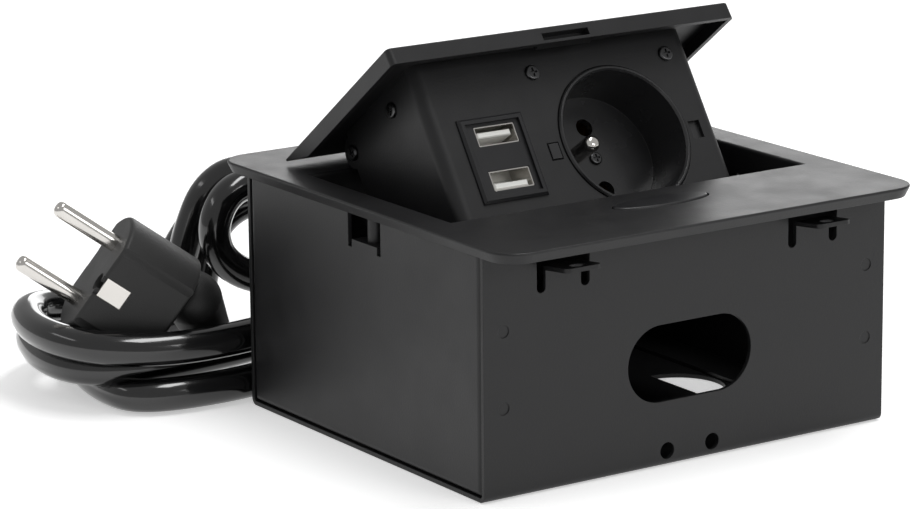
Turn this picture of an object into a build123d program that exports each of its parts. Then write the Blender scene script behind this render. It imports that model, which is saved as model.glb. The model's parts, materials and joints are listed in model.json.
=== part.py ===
from build123d import *
import math
import os

os.makedirs("parts", exist_ok=True)

# In-desk power module, millimetres. X runs along the width, +Y to the back, +Z up.
# The origin is the middle of the box's underside, on the surface that the module stands on.
# The module is drawn popped up, as it rests. The carriage is laid out closed and then swung open.

# Sheet, fits and screws
SHEET = 1.2
RUNNING_FIT = 0.05
PAST = 1.0
CORE_PAST = 5.0
SCREW_RADIUS = 1.25
SCREW_CLEARANCE = 0.25
SCREW_HEAD_RADIUS = 2.2
SCREW_HEAD_HEIGHT = 0.9
SCREW_RECESS = 0.55
THREAD_DEPTH = 2.0

# Socket in the carriage's face
CUP_RADIUS = 20.8
CUP_RING = 1.4
CUP_MOUTH_RADIUS = CUP_RADIUS - CUP_RING
CUP_DRAFT = 0.8
CUP_FLOOR_RADIUS = CUP_MOUTH_RADIUS - CUP_DRAFT
CUP_DEPTH = 16.6
CUP_LIP = 0.8
CUP_FLOOR = 2.4
CUP_FIT = 0.3
SOCKET_SCREW_X = CUP_RADIUS + 1.9
SOCKET_SCREW_S = CUP_RADIUS + 1.0
SOCKET_PLATE_MARGIN = 3.5
SOCKET_PLATE_WIDTH = 2 * (SOCKET_SCREW_X + SOCKET_PLATE_MARGIN)
SOCKET_PLATE_HEIGHT = 2 * (SOCKET_SCREW_S + SOCKET_PLATE_MARGIN)
SOCKET_PLATE = 2.2
SOCKET_S = 25.0
PIN_SPACING = 19.0
PIN_HOLE_RADIUS = 2.6
CONTACT_WALL = 0.6
CONTACT_LENGTH = 9.0
EARTH_PIN_RADIUS = 2.4
EARTH_PIN_OFFSET = 9.6
EARTH_PIN_REACH = 15.4
EARTH_PIN_ROOT = 4.8
SOCKET_BASE_WIDTH = 38.0
SOCKET_BASE_DEPTH = 11.0
SOCKET_BASE_CORNER = 4.0
SOCKET_BASE_ROUND = 1.0
BASE_BORE_DEPTH = 5.0
FLOOR_SCREW_HEAD_RADIUS = 1.9
FLOOR_SCREW_LENGTH = 6.5
SNAP_WIDTH = 3.8
SNAP_HEIGHT = 5.2
SNAP_REACH = 3.2
SNAP_DROP = 1.5
SNAP_GAP = 0.3
SNAP_PROUD = 0.3

# Charging ports
PORT_WIDTH = 13.1
PORT_HEIGHT = 5.7
PORT_WALL = 0.35
PORT_DEPTH = 11.0
PORT_PITCH = 13.0
PORT_SHIFT = 0.7
PORT_RISE = 0.4
TONGUE_WIDTH = 10.8
TONGUE_THICKNESS = 1.7
TONGUE_SHIFTS = (0.7, -1.3)
BEZEL_SIDE = 3.95
BEZEL_END = 2.95
BEZEL_WIDTH = PORT_WIDTH + 2 * BEZEL_SIDE
BEZEL_HEIGHT = PORT_PITCH + PORT_HEIGHT + 2 * BEZEL_END
BEZEL_S = 23.8
BEZEL_PROUD = 1.2
BEZEL_RIM = 1.7
BEZEL_RECESS = 0.9
BEZEL_SHOULDER = 1.3
BEZEL_TAIL = 1.4
PORT_HEIGHTS = (BEZEL_S + PORT_RISE + PORT_PITCH / 2, BEZEL_S + PORT_RISE - PORT_PITCH / 2)
CHARGER_WIDTH = BEZEL_WIDTH - 2.0
CHARGER_HEIGHT = BEZEL_HEIGHT + 5.4
CHARGER_WALL = 1.5
CHARGER_DEPTH = 15.0

# Carriage: a folded sheet with the face in front
FACE_MARGIN_LEFT = 7.2
FACE_GAP = 4.8
FACE_MARGIN_RIGHT = 3.8
CARRIAGE_INSIDE = FACE_MARGIN_LEFT + BEZEL_WIDTH + FACE_GAP + SOCKET_PLATE_WIDTH + FACE_MARGIN_RIGHT
CARRIAGE_WIDTH = CARRIAGE_INSIDE + 2 * SHEET
BEZEL_X = -CARRIAGE_INSIDE / 2 + FACE_MARGIN_LEFT + BEZEL_WIDTH / 2
PORT_X = BEZEL_X + PORT_SHIFT
SOCKET_X = CARRIAGE_INSIDE / 2 - FACE_MARGIN_RIGHT - SOCKET_PLATE_WIDTH / 2
FACE_LEAN = 3.5
FACE_FOOT_BELOW_TOP = 55.4
FACE_BOTTOM_BELOW_TOP = 61.4
FACE_FOLD_RADIUS = 3.5
CHEEK_LOBE_RADIUS = 4.6
ARM_HALF_HEIGHT = 5.6

# Lid
LID_FRONT = -31.0
LID_LENGTH = 65.6
LID_BACK = LID_FRONT + LID_LENGTH
LID_OVERHANG = 11.4
LID_WIDTH = CARRIAGE_WIDTH + 2 * LID_OVERHANG
LID_SHEET = 1.6
LID_SKIRT = 4.9
LID_SKIRT_WALL = 1.6
LID_FRONT_WALL = 3.6
LID_TAPER_LENGTH = 11.0
LID_BACK_EDGE = 0.8
LID_BACK_BEVEL = 2.2
LID_CORNER = 1.6
LID_EDGE_ROUND = 0.45
KEEPER_WIDTH = 15.4
KEEPER_WALL = 1.5
KEEPER_TOP = 1.9
KEEPER_BOTTOM = 4.1
KEEPER_SLOPE = 0.15
KEEPER_DEPTH = 2.8
EAR_SHEET = 1.5
EAR_FRONT = LID_FRONT + 19.5
EAR_DROP = 12.2
LID_SCREW_PLACES = ((LID_FRONT + 24.7, 7.5), (LID_FRONT + 49.6, 7.9))
FACE_FOOT_Y = LID_FRONT + 13.03
CHEEK_BACK = LID_SCREW_PLACES[1][0] + 1.4
CHEEK_HIP = (CHEEK_BACK - 4.0, 40.0)
CHEEK_HIP_RUN = 8.0
CHEEK_BOTTOM_BACK = CHEEK_BACK - 24.0

# Hinge of the carriage
TRAVEL = 37.0
HINGE_BEHIND_LID = 11.3
HINGE_Y = LID_BACK + HINGE_BEHIND_LID
HINGE_BELOW_TOP = 26.2
AXLE_RADIUS = 2.0
AXLE_OVERHANG = 2.2
AXLE_CHAMFER = 0.4
BARREL_RADIUS = 4.6
BARREL_LENGTH = 5.0
BRACKET_SHEET = 1.5
BRACKET_GAP = 5.9
BRACKET_RADIUS = 6.5
BRACKET_FLANGE = 10.5
BRACKET_CORNER = 2.5
BRACKET_ABOVE = 8.2
BRACKET_BELOW = 9.3
RIVET_RADIUS = 1.6
RIVET_HEAD_RADIUS = 3.0
RIVET_HEAD_HEIGHT = 1.1
RIVET_TAIL_RADIUS = 2.2
RIVET_TAIL_HEIGHT = 0.9
RIVET_OFFSETS = (-4.8, 3.7)
CLIP_THICKNESS = 0.7
CLIP_RADIUS = 3.6
CLIP_GAP = 2.0
CLIP_PLAY = 0.1
SPRING_WIRE = 0.6
SPRING_COIL_RADIUS = 2.6
SPRING_TURNS = 3
SPRING_GAP = 0.35

# Opening of the desk frame, round the lid
LID_GAP_SIDE = 1.4
LID_GAP_FRONT = 1.1
LID_GAP_BACK = 2.8
OPENING_WIDTH = LID_WIDTH + 2 * LID_GAP_SIDE
OPENING_FRONT = LID_FRONT - LID_GAP_FRONT
OPENING_BACK = LID_BACK + LID_GAP_BACK
OPENING_EDGE_ROUND = 0.8
COLLAR_WALL = 1.6
COLLAR_DEPTH = 5.0

# Sheet-metal box
RIM_WIDTH = 7.9
BOX_WIDTH = OPENING_WIDTH + 2 * RIM_WIDTH
HINGE_TO_BACK = 12.2
BOX_DEPTH = 2 * (HINGE_Y + HINGE_TO_BACK)
BOX_WALL_TOP = 65.9
BEND_RADIUS = 2.0
SEAM_FLANGE = 13.5
CORNER_BEND = 1.9
CORNER_RELIEF = 1.5
CABLE_SLOT_LENGTH = 41.0
CABLE_SLOT_HEIGHT = 21.2
CABLE_SLOT_Z = 28.6
TIE_HOLE_RADIUS = 2.3
TIE_HOLE_SPACING = 15.0
TIE_HOLE_Z = 4.2
FLOOR_HOLE_RADIUS = 13.4
FLOOR_HOLE_X = 39.0
FLOOR_HOLE_Y = -1.5
WELD_RADIUS = 1.7
WELD_DEPTH = 0.25
WELD_INSET = 6.3
WELD_HEIGHTS = (24.7, 45.3)

# Fixing tabs bent out of the front and back walls
TAB_WIDTH = 11.2
TAB_LENGTH = 9.8
TAB_INSET = 25.2
TAB_RISE = 6.0
TAB_DROP = 5.2
TAB_SLOT_WIDTH = 2.8
TAB_SLOT_DEPTH = 12.1
TAB_HOLE_RADIUS = 2.2
TAB_HOLE_REACH = 7.5
TAB_CORNER = 1.8

# Frame that lies on the desk
FRAME_OVERHANG_SIDE = 2.5
FRAME_OVERHANG_END = 13.6
FRAME_WIDTH = BOX_WIDTH + 2 * FRAME_OVERHANG_SIDE
FRAME_DEPTH = BOX_DEPTH + 2 * FRAME_OVERHANG_END
FRAME_THICKNESS = 3.1
FRAME_CORNER = 9.0
FRAME_TAPER = 1.5
FRAME_EDGE_ROUND = 0.5
FRAME_TOP = BOX_WALL_TOP + FRAME_THICKNESS

# Side tabs that carry the frame, with their screws
SIDE_TAB_Y = -2.0
SIDE_TAB_WIDTH = 12.4
SIDE_TAB_REACH = 8.3
SIDE_TAB_DROP = 7.4
SIDE_TAB_CORNER = 2.0
SIDE_SLOT_WIDTH = 1.8
SIDE_SLOT_DEPTH = 9.6
FRAME_BOSS_RADIUS = 2.3
FRAME_SCREW_INSET = 3.8
FRAME_SCREW_LENGTH = SHEET + SIDE_TAB_DROP - 2.1

# Release button in the front strip of the frame
BUTTON_Y = OPENING_FRONT - 12.7
BUTTON_HALF_LENGTH = 15.3
BUTTON_HALF_WIDTH = 4.9
BUTTON_PROUD = 0.35
BUTTON_EDGE_ROUND = 0.6
BUTTON_GAP = 0.5
BUTTON_TRAVEL = 2.0
WELL_WALL = 1.1
WELL_DEPTH = 2.0
LUG_PLAY = 0.15
LUG_LENGTH = 12.0
LUG_REACH = 1.2
LUG_HEIGHT = 1.4
STEM_WIDTH = 8.0
STEM_BOTTOM = 12.6
STEM_FRONT = BUTTON_Y - 5.2
STEM_BACK = BUTTON_Y - 1.2
STEM_TOE = BUTTON_Y + 2.8
TOE_TOP = 8.0
STEM_CHAMFER = 2.0

# Latch and its channel
LATCH_WIDTH = 13.6
LATCH_PLATE = 1.4
LATCH_WEB_Y = OPENING_FRONT - 2.9
LATCH_WEB = 1.6
TONGUE_TIP_Y = LID_FRONT + 1.3
TONGUE_TOP = 2.3
TONGUE_NOSE = 1.0
TONGUE_NOSE_DROP = 0.9
RAMP_TOP = 9.2
LATCH_FLOOR = 15.0
LATCH_TAIL = BUTTON_Y - 8.2
HOOK_FRONT = BUTTON_Y + 1.2
HOOK_TOP = 8.9
HOOK_BOTTOM = 11.0
LATCH_GAP = 0.3
LATCH_PLAY = 0.15
GUIDE_WIDTH = 40.0
GUIDE_SHEET = 1.5
GUIDE_FLANGE = 7.0
GUIDE_BACK = BUTTON_Y - 11.7
GUIDE_FRONT = BUTTON_Y + 6.8
GUIDE_RIM = 1.0
GUIDE_RIM_HEIGHT = 5.5
GUIDE_RIB = 1.2
GUIDE_RIB_HEIGHT = 2.6
GUIDE_SCREW_LENGTH = GUIDE_SHEET + 1.7
RETURN_SPRING_X = 12.0
RETURN_SPRING_RADIUS = 2.2
RETURN_SPRING_WIRE = 0.6
RETURN_SPRING_TURNS = 7
SPRING_SEAT = 0.1

# Lead, its gland and its plug
CORD_DIAMETER = 9.6
GLAND_Z = 14.0
GLAND_THREAD_RADIUS = 7.6
GLAND_THREAD_END = 1.5
GLAND_NUT_RADIUS = 10.5
GLAND_NUT_THICKNESS = 3.5
GLAND_INSET = 4.5
GLAND_X = BOX_WIDTH / 2 - SEAM_FLANGE - GLAND_NUT_RADIUS - GLAND_INSET
GLAND_COLLAR = 4.0
GLAND_TAIL = 24.0
GLAND_SLEEVE_WALL = 1.1
GLAND_END = BOX_DEPTH / 2 + GLAND_COLLAR + GLAND_TAIL
PLUG_RADIUS = 18.2
PLUG_LENGTH = 24.0
PLUG_EDGE = 1.2
PLUG_FLAT = 13.4
PLUG_GROOVE_RADIUS = 4.0
PLUG_GROOVE_ANGLE = 52.0
PLUG_GROOVE_DEPTH = 1.1
PLUG_PIN_RADIUS = 2.4
PLUG_PIN_LENGTH = 20.0
PLUG_PIN_ROOT = 9.5
PLUG_EARTH_RADIUS = 2.6
PLUG_EARTH_DEPTH = 14.0
CLIP_WIDTH = 6.0
CLIP_LENGTH = 9.0
CLIP_SHEET = 0.8
CLIP_RECESS = 1.4
PLUG_AXIS = Vector(-0.7496, 0.3092, 0.5852)
PLUG_PIN_LINE = Vector(-0.5078, 0.2984, -0.8082)
PLUG_FACE = Vector(-98.6, 88.8, 37.2)
NECK_DIRECTION = Vector(0.52, 0.4, -0.755).normalized()
NECK_BEHIND = 4.0
NECK_RISE = 8.0
NECK_LENGTH = 18.0
NECK_RADIUS = 8.3
NECK_END_RADIUS = 6.4
NECK_SLOT_ANGLES = (210, 234, 258)
NECK_SLOT_WIDTH = 1.1
NECK_SLOT_LENGTH = 8.0
NECK_SLOT_DEPTH = 1.2
COIL_MIDDLE = (-61.5, 103.0)
COIL_WIDTH = 113.0
COIL_REACH = 87.0
COIL_SECTION = 21.0
COIL_CORNER = 38.0
COIL_TILT = 27.0
COIL_ROLL = -6.0
COIL_CLEARANCE = 0.4
LEAD_ROUTE = [(GLAND_X, GLAND_END, GLAND_Z), (GLAND_X, GLAND_END + 17, GLAND_Z), (31, 119, 9), (14, 128, 12),
              (-6, 127, 25), (-22, 121, 36)]
TAIL_ROUTE = [(-42, 101, 5.2), (-29, 103, 9), (-18, 95, 17)]

HALF_WIDTH = BOX_WIDTH / 2
HALF_DEPTH = BOX_DEPTH / 2
CHEEK_X = CARRIAGE_WIDTH / 2
HINGE_Z = FRAME_TOP - HINGE_BELOW_TOP
TAB_X = HALF_WIDTH - TAB_INSET
HINGE_AXIS = Axis((0, HINGE_Y, HINGE_Z), (1, 0, 0))


def block(x0, x1, y0, y1, z0, z1):
    """Plain block between two corners."""
    shape = Box(x1 - x0, y1 - y0, z1 - z0)
    return Pos((x0 + x1) / 2, (y0 + y1) / 2, (z0 + z1) / 2) * shape


def rod(start, end, radius):
    """Round bar from one point to another."""
    start, end = Vector(start), Vector(end)
    plane = Plane(origin=start, z_dir=end - start)
    return extrude(plane * Circle(radius), (end - start).length)


def yz_slab(points, x0, x1):
    """Slab between two X places with an outline of (y, z) points."""
    wire = Polyline([(x0, y, z) for y, z in points], close=True)
    return extrude(make_face(wire), x1 - x0, dir=(1, 0, 0))


def both_sides(shape):
    """A shape and its mirror image across the middle plane."""
    return [shape, mirror(shape, Plane.YZ)]


def save(name, *shapes):
    """Writes one named sub-part."""
    solids = []
    for shape in shapes:
        solids.extend(shape.solids() if hasattr(shape, "solids") else shape)
    whole = solids[0] if len(solids) == 1 else Compound(children=solids)
    whole.label = name
    export_step(whole, f"parts/{name}.step")
    return whole


def swing_open(*shapes):
    """Turns carriage parts from closed to popped up."""
    return [shape.rotate(HINGE_AXIS, -TRAVEL) for shape in shapes]


def pan_screw(head_plane, length, head_radius=SCREW_HEAD_RADIUS):
    """Cross-recess screw: head on the plane, shank going against its normal."""
    head = extrude(Circle(head_radius), SCREW_HEAD_HEIGHT)
    head = fillet(head.edges().sort_by(Axis.Z)[-1], SCREW_HEAD_HEIGHT * 0.6)
    slot = Pos(0, 0, SCREW_HEAD_HEIGHT) * Box(head_radius * 1.15, head_radius * 0.26, 2 * SCREW_RECESS)
    shank = Pos(0, 0, -length) * extrude(Circle(SCREW_RADIUS), length)
    return head_plane * (head - slot - Rot(0, 0, 90) * slot + shank)


# Box: front wall, floor plate and back wall, butted at the bends
def wall_tab():
    """Front-wall fixing tab in place, with its hole square to the desk."""
    root_z = BOX_WALL_TOP - TAB_DROP
    plate = block(-TAB_WIDTH / 2, TAB_WIDTH / 2, -TAB_LENGTH - SHEET, 0, -SHEET, 0)
    ends = plate.edges().filter_by(Axis.Z).group_by(Axis.Y)[0]
    plate = fillet(ends, TAB_CORNER)
    plate = plate.rotate(Axis.X, -TAB_RISE)
    reach = TAB_LENGTH
    hole = rod((0, -TAB_HOLE_REACH, -reach), (0, -TAB_HOLE_REACH, reach), TAB_HOLE_RADIUS)
    return Pos(0, -HALF_DEPTH + SHEET, root_z) * (plate - hole)


def wall_cuts():
    """Cuts through the front wall: cable slot, tie holes, tab windows and weld marks."""
    y0, y1 = -HALF_DEPTH - PAST, -HALF_DEPTH + SHEET + PAST
    plane = Plane(origin=(0, y0, CABLE_SLOT_Z), x_dir=(1, 0, 0), z_dir=(0, -1, 0))
    cuts = [extrude(plane * SlotOverall(CABLE_SLOT_LENGTH, CABLE_SLOT_HEIGHT), y0 - y1)]
    for side in (-1, 1):
        x = side * TIE_HOLE_SPACING / 2
        cuts.append(rod((x, y0, TIE_HOLE_Z), (x, y1, TIE_HOLE_Z), TIE_HOLE_RADIUS))
        inner = TAB_WIDTH / 2
        outer = inner + TAB_SLOT_WIDTH
        middle = side * TAB_X
        window_bottom = BOX_WALL_TOP - TAB_DROP
        cuts.append(block(middle - outer, middle + outer, y0, y1, window_bottom, BOX_WALL_TOP + PAST))
        slot_end = BOX_WALL_TOP - TAB_SLOT_DEPTH + TAB_SLOT_WIDTH / 2
        for hand in (-1, 1):
            low, high = sorted((middle + hand * inner, middle + hand * outer))
            cuts.append(block(low, high, y0, y1, slot_end, BOX_WALL_TOP + PAST))
            centre = middle + hand * (inner + TAB_SLOT_WIDTH / 2)
            cuts.append(rod((centre, y0, slot_end), (centre, y1, slot_end), TAB_SLOT_WIDTH / 2))
        for height in WELD_HEIGHTS:
            x = side * (HALF_WIDTH - WELD_INSET)
            cuts.append(rod((x, y0, height), (x, -HALF_DEPTH + WELD_DEPTH, height), WELD_RADIUS))
    return cuts


def floor_hole():
    """Cable hole in the floor, round with one straight side."""
    disc = Pos(FLOOR_HOLE_X, FLOOR_HOLE_Y, -PAST) * extrude(Circle(FLOOR_HOLE_RADIUS), SHEET + 2 * PAST)
    reach = FLOOR_HOLE_RADIUS + PAST
    low, high = FLOOR_HOLE_Y - reach, FLOOR_HOLE_Y + reach
    keep = block(FLOOR_HOLE_X, FLOOR_HOLE_X + reach, low, high, -2 * PAST, SHEET + 2 * PAST)
    return disc & keep


def rivet_heights():
    """Heights of the two rivets in each bracket."""
    return [HINGE_Z + offset for offset in RIVET_OFFSETS]


def rivet_places():
    """Middle (x, z) of each hinge rivet."""
    x = CHEEK_X + BRACKET_GAP + BRACKET_SHEET + BRACKET_FLANGE / 2
    return [(side * x, z) for side in (-1, 1) for z in rivet_heights()]


def box_sheet():
    """Front wall, floor and back wall in their folded shape."""
    outer = block(-HALF_WIDTH, HALF_WIDTH, -HALF_DEPTH, HALF_DEPTH, 0, BOX_WALL_TOP)
    outer = fillet(outer.edges().filter_by(Axis.X).group_by(Axis.Z)[0], BEND_RADIUS)
    inner = block(-HALF_WIDTH - PAST, HALF_WIDTH + PAST, -HALF_DEPTH + SHEET, HALF_DEPTH - SHEET,
                  SHEET, BOX_WALL_TOP + PAST)
    inner = fillet(inner.edges().filter_by(Axis.X).group_by(Axis.Z)[0], BEND_RADIUS - SHEET)
    shell = outer - inner
    cuts = wall_cuts()
    back_cuts = [cut.rotate(Axis.Z, 180) for cut in cuts]
    shell = shell - cuts - back_cuts - floor_hole()
    for x in (-TAB_X, TAB_X):
        tab = Pos(x, 0, 0) * wall_tab()
        shell = shell + tab + tab.rotate(Axis.Z, 180)
    y0, y1 = HALF_DEPTH - SHEET - PAST, HALF_DEPTH + PAST
    shell = shell - [rod((x, y0, z), (x, y1, z), RIVET_RADIUS + RUNNING_FIT) for x, z in rivet_places()]
    shell = shell - rod((GLAND_X, y0, GLAND_Z), (GLAND_X, y1, GLAND_Z), GLAND_THREAD_RADIUS + RUNNING_FIT)
    return shell


def box_panels():
    """The folded shape as front wall, floor plate and back wall, parted where the bends end."""
    sheet = box_sheet()
    seam = HALF_DEPTH - BEND_RADIUS
    cuts = (-FRAME_DEPTH, -seam, seam, FRAME_DEPTH)
    return [sheet & block(-FRAME_WIDTH, FRAME_WIDTH, low, high, -PAST, FRAME_TOP)
            for low, high in zip(cuts, cuts[1:])]


def side_panel():
    """Left panel, with flanges welded inside the front, floor and back, and its frame tab."""
    inside = HALF_DEPTH - SHEET
    pan = block(-HALF_WIDTH, -HALF_WIDTH + SEAM_FLANGE, -inside, inside, SHEET, BOX_WALL_TOP)
    pan = fillet(pan.edges().filter_by(Axis.X).group_by(Axis.Z)[0], BEND_RADIUS - SHEET + 0.2)
    pan = fillet(pan.edges().filter_by(Axis.Z).group_by(Axis.X)[0], CORNER_BEND)
    hollow = block(-HALF_WIDTH + SHEET, HALF_WIDTH, -inside + SHEET, inside - SHEET,
                   2 * SHEET, BOX_WALL_TOP + 1)
    hollow = fillet(hollow.edges().filter_by(Axis.Z).group_by(Axis.X)[0], CORNER_BEND - SHEET)
    pan = pan - hollow
    for y in (-inside, inside):
        low, high = y - CORNER_RELIEF, y + CORNER_RELIEF
        pan = pan - block(-HALF_WIDTH + CORNER_BEND, 0, low, high, 0, 2 * SHEET + CORNER_RELIEF)
    for x, z in rivet_places():
        pan = pan - rod((-abs(x), inside - SHEET - PAST, z), (-abs(x), inside + PAST, z),
                        RIVET_RADIUS + RUNNING_FIT)
    tab_top = BOX_WALL_TOP - SIDE_TAB_DROP
    low, high = SIDE_TAB_Y - SIDE_TAB_WIDTH / 2, SIDE_TAB_Y + SIDE_TAB_WIDTH / 2
    x0, x1 = -HALF_WIDTH - PAST, -HALF_WIDTH + SHEET + PAST / 2
    pan = pan - block(x0, x1, low - SIDE_SLOT_WIDTH, high + SIDE_SLOT_WIDTH, tab_top, BOX_WALL_TOP + PAST)
    slot_bottom = BOX_WALL_TOP - SIDE_SLOT_DEPTH
    pan = pan - block(x0, x1, low - SIDE_SLOT_WIDTH, low, slot_bottom, BOX_WALL_TOP + PAST)
    pan = pan - block(x0, x1, high, high + SIDE_SLOT_WIDTH, slot_bottom, BOX_WALL_TOP + PAST)
    tab = block(-HALF_WIDTH, -HALF_WIDTH + SIDE_TAB_REACH, low, high, tab_top - SHEET, tab_top)
    tab = fillet(tab.edges().filter_by(Axis.Y).group_by(Axis.X)[0].sort_by(Axis.Z)[-1], SHEET * 0.9)
    tab = fillet(tab.edges().filter_by(Axis.Z).group_by(Axis.X)[-1], SIDE_TAB_CORNER)
    x = -HALF_WIDTH + FRAME_SCREW_INSET
    hole = rod((x, SIDE_TAB_Y, 0), (x, SIDE_TAB_Y, BOX_WALL_TOP), SCREW_RADIUS + SCREW_CLEARANCE)
    return pan + tab - hole


# Frame
def rounded_plate(width, depth, corner, top, thickness, taper):
    """Plate that narrows downwards by the taper."""
    upper = Pos(0, 0, top) * RectangleRounded(width, depth, corner)
    lower = RectangleRounded(width - 2 * taper, depth - 2 * taper, corner - taper)
    lower = Pos(0, 0, top - thickness) * lower
    return loft([lower, upper])


def ellipse_post(half_length, half_width, bottom, top):
    """Post of elliptic section at the button's place."""
    return Pos(0, BUTTON_Y, bottom) * extrude(Ellipse(half_length, half_width), top - bottom)


def frame():
    """Desk frame with the lid's opening, collar, button well and screw bosses."""
    plate = rounded_plate(FRAME_WIDTH, FRAME_DEPTH, FRAME_CORNER, FRAME_TOP, FRAME_THICKNESS, FRAME_TAPER)
    plate = fillet(plate.edges().group_by(Axis.Z)[-1], FRAME_EDGE_ROUND)
    half = OPENING_WIDTH / 2
    collar_bottom = BOX_WALL_TOP - COLLAR_DEPTH
    collar = block(-half - COLLAR_WALL, half + COLLAR_WALL, OPENING_FRONT - COLLAR_WALL,
                   OPENING_BACK + COLLAR_WALL, collar_bottom, BOX_WALL_TOP)
    well_outer = ellipse_post(BUTTON_HALF_LENGTH + BUTTON_GAP + WELL_WALL,
                              BUTTON_HALF_WIDTH + BUTTON_GAP + WELL_WALL,
                              BOX_WALL_TOP - WELL_DEPTH, BOX_WALL_TOP)
    body = plate + collar + well_outer
    body = body - block(-half, half, OPENING_FRONT, OPENING_BACK, collar_bottom - PAST, FRAME_TOP + PAST)
    body = body - ellipse_post(BUTTON_HALF_LENGTH + BUTTON_GAP, BUTTON_HALF_WIDTH + BUTTON_GAP,
                               BOX_WALL_TOP - WELL_DEPTH - PAST, FRAME_TOP + PAST)
    mouth = [edge for edge in body.edges().group_by(Axis.Z)[-1]
             if edge.bounding_box().size.X < OPENING_WIDTH + 1 and abs(edge.center().X) <= half + 0.1
             and OPENING_FRONT - 0.1 <= edge.center().Y <= OPENING_BACK + 0.1]
    body = fillet(mouth, OPENING_EDGE_ROUND)
    slot_half = LATCH_WIDTH / 2 + LATCH_GAP
    slot_top = FRAME_TOP - TONGUE_TOP + LATCH_GAP
    slot_front = LATCH_WEB_Y - LATCH_WEB / 2 - BUTTON_TRAVEL - LATCH_GAP
    body = body - block(-slot_half, slot_half, slot_front, OPENING_FRONT + PAST,
                        collar_bottom - PAST, slot_top)
    for side in (-1, 1):
        x = side * (HALF_WIDTH - FRAME_SCREW_INSET)
        boss_bottom = BOX_WALL_TOP - SIDE_TAB_DROP
        boss = rod((x, SIDE_TAB_Y, boss_bottom), (x, SIDE_TAB_Y, BOX_WALL_TOP), FRAME_BOSS_RADIUS)
        bore = rod((x, SIDE_TAB_Y, boss_bottom - PAST), (x, SIDE_TAB_Y, BOX_WALL_TOP + PAST), SCREW_RADIUS)
        body = body + boss - bore
        gx = side * (GUIDE_WIDTH / 2 + GUIDE_FLANGE / 2)
        body = body - rod((gx, BUTTON_Y, BOX_WALL_TOP - PAST), (gx, BUTTON_Y, BOX_WALL_TOP + THREAD_DEPTH),
                          SCREW_RADIUS)
    return body


def frame_screws():
    """Two screws from below through the side tabs into the frame."""
    z = BOX_WALL_TOP - SIDE_TAB_DROP - SHEET
    x = HALF_WIDTH - FRAME_SCREW_INSET
    plane = Plane(origin=(x, SIDE_TAB_Y, z), x_dir=(1, 0, 0), z_dir=(0, 0, -1))
    return both_sides(pan_screw(plane, FRAME_SCREW_LENGTH))


# Release button and latch
def release_button():
    """Oval push button with retaining lugs and a wedge-ended stem."""
    top = FRAME_TOP + BUTTON_PROUD
    well_bottom = BOX_WALL_TOP - WELL_DEPTH
    lug_top = well_bottom - LUG_PLAY
    post = ellipse_post(BUTTON_HALF_LENGTH, BUTTON_HALF_WIDTH, lug_top, top)
    post = fillet(post.edges().group_by(Axis.Z)[-1], BUTTON_EDGE_ROUND)
    reach = BUTTON_HALF_WIDTH + BUTTON_GAP + LUG_REACH
    lugs = block(-LUG_LENGTH / 2, LUG_LENGTH / 2, BUTTON_Y - reach, BUTTON_Y + reach,
                 lug_top - LUG_HEIGHT, lug_top)
    bottom = FRAME_TOP - STEM_BOTTOM
    toe_top = FRAME_TOP - TOE_TOP
    toe_fall = STEM_TOE - STEM_BACK
    outline = [(STEM_FRONT, lug_top - LUG_HEIGHT), (STEM_FRONT, bottom + STEM_CHAMFER),
               (STEM_FRONT + STEM_CHAMFER, bottom), (STEM_TOE, bottom), (STEM_TOE, toe_top - toe_fall),
               (STEM_BACK, toe_top), (STEM_BACK, lug_top - LUG_HEIGHT)]
    stem = yz_slab(outline, -STEM_WIDTH / 2, STEM_WIDTH / 2)
    return post + lugs + stem


def latch():
    """Sliding latch: tongue, web and floor plate, with a ramp before and a hook behind the stem's foot."""
    half = LATCH_WIDTH / 2
    slope_gap = LATCH_GAP * math.sqrt(2)
    web_front, web_back = LATCH_WEB_Y - LATCH_WEB / 2, LATCH_WEB_Y + LATCH_WEB / 2
    tongue_top = FRAME_TOP - TONGUE_TOP
    tongue = yz_slab([(web_front, tongue_top), (TONGUE_TIP_Y - TONGUE_NOSE, tongue_top),
                      (TONGUE_TIP_Y, tongue_top - TONGUE_NOSE_DROP),
                      (TONGUE_TIP_Y, tongue_top - LATCH_PLATE),
                       (web_front, tongue_top - LATCH_PLATE)], -half, half)
    floor_top = FRAME_TOP - LATCH_FLOOR
    web = block(-half, half, web_front, web_back, floor_top - LATCH_PLATE, tongue_top)
    floor = block(-half, half, LATCH_TAIL, web_back, floor_top - LATCH_PLATE, floor_top)
    ramp_sum = STEM_FRONT + (FRAME_TOP - STEM_BOTTOM) + STEM_CHAMFER - slope_gap
    ramp_top = FRAME_TOP - RAMP_TOP
    ramp = yz_slab([(LATCH_TAIL, floor_top), (LATCH_TAIL, ramp_top), (ramp_sum - ramp_top, ramp_top),
                    (ramp_sum - floor_top, floor_top)], -STEM_WIDTH / 2, STEM_WIDTH / 2)
    hook_sum = STEM_BACK + (FRAME_TOP - TOE_TOP) + slope_gap
    hook_top, hook_bottom = FRAME_TOP - HOOK_TOP, FRAME_TOP - HOOK_BOTTOM
    hook = yz_slab([(HOOK_FRONT, hook_top), (web_front, hook_top), (web_front, hook_bottom),
                    (hook_sum - hook_bottom, hook_bottom), (HOOK_FRONT, hook_sum - HOOK_FRONT)],
                   -STEM_WIDTH / 2, STEM_WIDTH / 2)
    return tongue + web + floor + ramp + hook


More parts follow.
